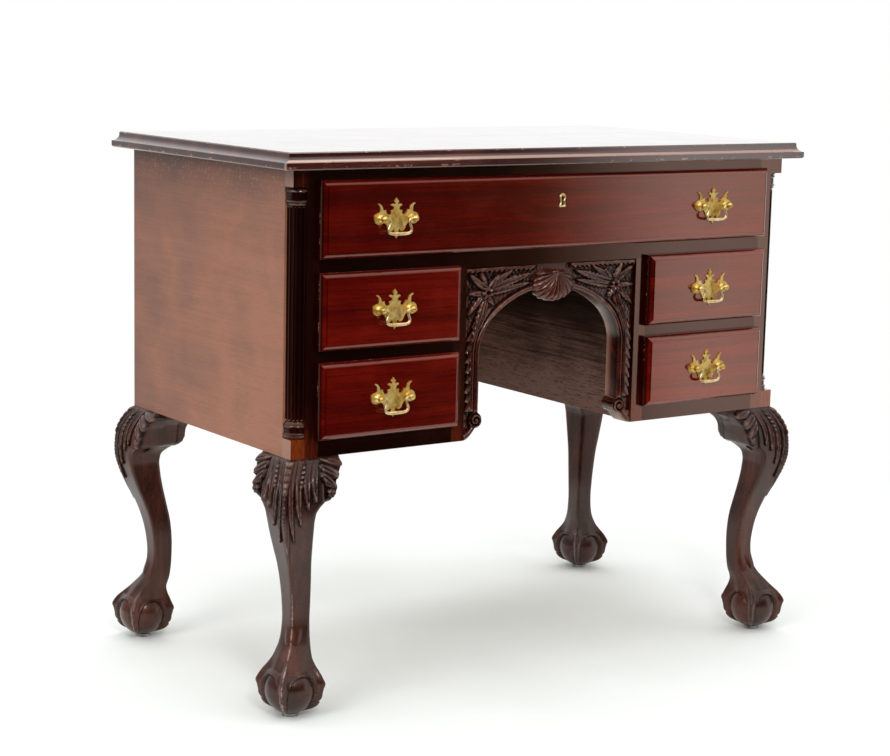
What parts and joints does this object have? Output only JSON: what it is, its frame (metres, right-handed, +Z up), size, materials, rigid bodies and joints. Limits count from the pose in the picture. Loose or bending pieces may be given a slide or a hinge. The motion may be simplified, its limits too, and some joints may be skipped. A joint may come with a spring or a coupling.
{
  "type": "kneehole desk",
  "caption": "Mahogany kneehole desk with lipped drawers, fluted quarter columns, a carved arch with a shell, and cabriole legs on ball-and-claw feet.",
  "frame": {"origin": "middle of the desk in plan, on the floor", "axes": "x to the right of someone facing the drawers, y from the front to the back, z up"},
  "size_m": [0.9246, 0.5209, 0.77],
  "materials": {
    "mahogany": "polished varnish",
    "mahogany_front": "polished varnish",
    "secondary_wood": "unfinished",
    "brass": "polished",
    "steel": "worn"
  },
  "bodies": {
    "carcase": {"top_board": "mahogany", "side_panel_left": "mahogany", "side_panel_right": "mahogany", "front_post_left": "mahogany", "front_post_right": "mahogany", "inner_stiles": "mahogany", "top_rail": "mahogany", "middle_rail": "mahogany", "divider_rails": "mahogany", "bottom_rails": "mahogany", "kneehole_walls": "mahogany", "quarter_column_left": "mahogany", "quarter_column_right": "mahogany", "column_blocks": "mahogany", "kneehole_arch": "mahogany", "kneehole_shell": "mahogany", "leg_front_left": "mahogany", "leg_front_right": "mahogany", "leg_back_left": "mahogany", "leg_back_right": "mahogany", "knee_brackets": "mahogany", "back_panel": "secondary_wood", "dust_boards": "secondary_wood", "drawer_guides": "secondary_wood", "corner_blocks": "secondary_wood", "foot_glides": "steel"},
    "drawer_long": {"drawer_front_long": "mahogany_front", "drawer_box_long": "secondary_wood", "drawer_bottom_long": "secondary_wood", "pull_plate_long": "brass", "pull_posts_long": "brass", "keyhole_escutcheon": "brass", "lock_case": "steel"},
    "drawer_upper_left": {"drawer_front_upper_left": "mahogany_front", "drawer_box_upper_left": "secondary_wood", "drawer_bottom_upper_left": "secondary_wood", "pull_plate_upper_left": "brass", "pull_posts_upper_left": "brass"},
    "drawer_upper_right": {"drawer_front_upper_right": "mahogany_front", "drawer_box_upper_right": "secondary_wood", "drawer_bottom_upper_right": "secondary_wood", "pull_plate_upper_right": "brass", "pull_posts_upper_right": "brass"},
    "drawer_lower_left": {"drawer_front_lower_left": "mahogany_front", "drawer_box_lower_left": "secondary_wood", "drawer_bottom_lower_left": "secondary_wood", "pull_plate_lower_left": "brass", "pull_posts_lower_left": "brass"},
    "drawer_lower_right": {"drawer_front_lower_right": "mahogany_front", "drawer_box_lower_right": "secondary_wood", "drawer_bottom_lower_right": "secondary_wood", "pull_plate_lower_right": "brass", "pull_posts_lower_right": "brass"},
    "bail_long_left": {"pull_bail_long_left": "brass"},
    "bail_long_right": {"pull_bail_long_right": "brass"},
    "bail_upper_left": {"pull_bail_upper_left": "brass"},
    "bail_upper_right": {"pull_bail_upper_right": "brass"},
    "bail_lower_left": {"pull_bail_lower_left": "brass"},
    "bail_lower_right": {"pull_bail_lower_right": "brass"},
    "bolt": {"lock_bolt": "steel"}
  },
  "joints": [
    {"name": "drawer_long_slide", "type": "slide", "parent": "carcase", "child": "drawer_long", "axis": [0, -1, 0], "range_m": [0, 0.3]},
    {"name": "drawer_upper_left_slide", "type": "slide", "parent": "carcase", "child": "drawer_upper_left", "axis": [0, -1, 0], "range_m": [0, 0.3]},
    {"name": "drawer_upper_right_slide", "type": "slide", "parent": "carcase", "child": "drawer_upper_right", "axis": [0, -1, 0], "range_m": [0, 0.3]},
    {"name": "drawer_lower_left_slide", "type": "slide", "parent": "carcase", "child": "drawer_lower_left", "axis": [0, -1, 0], "range_m": [0, 0.3]},
    {"name": "drawer_lower_right_slide", "type": "slide", "parent": "carcase", "child": "drawer_lower_right", "axis": [0, -1, 0], "range_m": [0, 0.3]},
    {"name": "bail_long_left_hinge", "type": "hinge", "parent": "drawer_long", "child": "bail_long_left", "pos_m": [-0.283, -0.2575, 0.67933], "axis": [-1, 0, 0], "range_deg": [-15, 150]},
    {"name": "bail_long_right_hinge", "type": "hinge", "parent": "drawer_long", "child": "bail_long_right", "pos_m": [0.283, -0.2575, 0.67933], "axis": [-1, 0, 0], "range_deg": [-15, 150]},
    {"name": "bail_upper_left_hinge", "type": "hinge", "parent": "drawer_upper_left", "child": "bail_upper_left", "pos_m": [-0.283, -0.2575, 0.556], "axis": [-1, 0, 0], "range_deg": [-15, 150]},
    {"name": "bail_upper_right_hinge", "type": "hinge", "parent": "drawer_upper_right", "child": "bail_upper_right", "pos_m": [0.283, -0.2575, 0.556], "axis": [-1, 0, 0], "range_deg": [-15, 150]},
    {"name": "bail_lower_left_hinge", "type": "hinge", "parent": "drawer_lower_left", "child": "bail_lower_left", "pos_m": [-0.283, -0.2575, 0.43467], "axis": [-1, 0, 0], "range_deg": [-15, 150]},
    {"name": "bail_lower_right_hinge", "type": "hinge", "parent": "drawer_lower_right", "child": "bail_lower_right", "pos_m": [0.283, -0.2575, 0.43467], "axis": [-1, 0, 0], "range_deg": [-15, 150]},
    {"name": "lock_bolt_slide", "type": "slide", "parent": "drawer_long", "child": "bolt", "axis": [0, 0, 1], "range_m": [0, 0.008]}
  ]
}
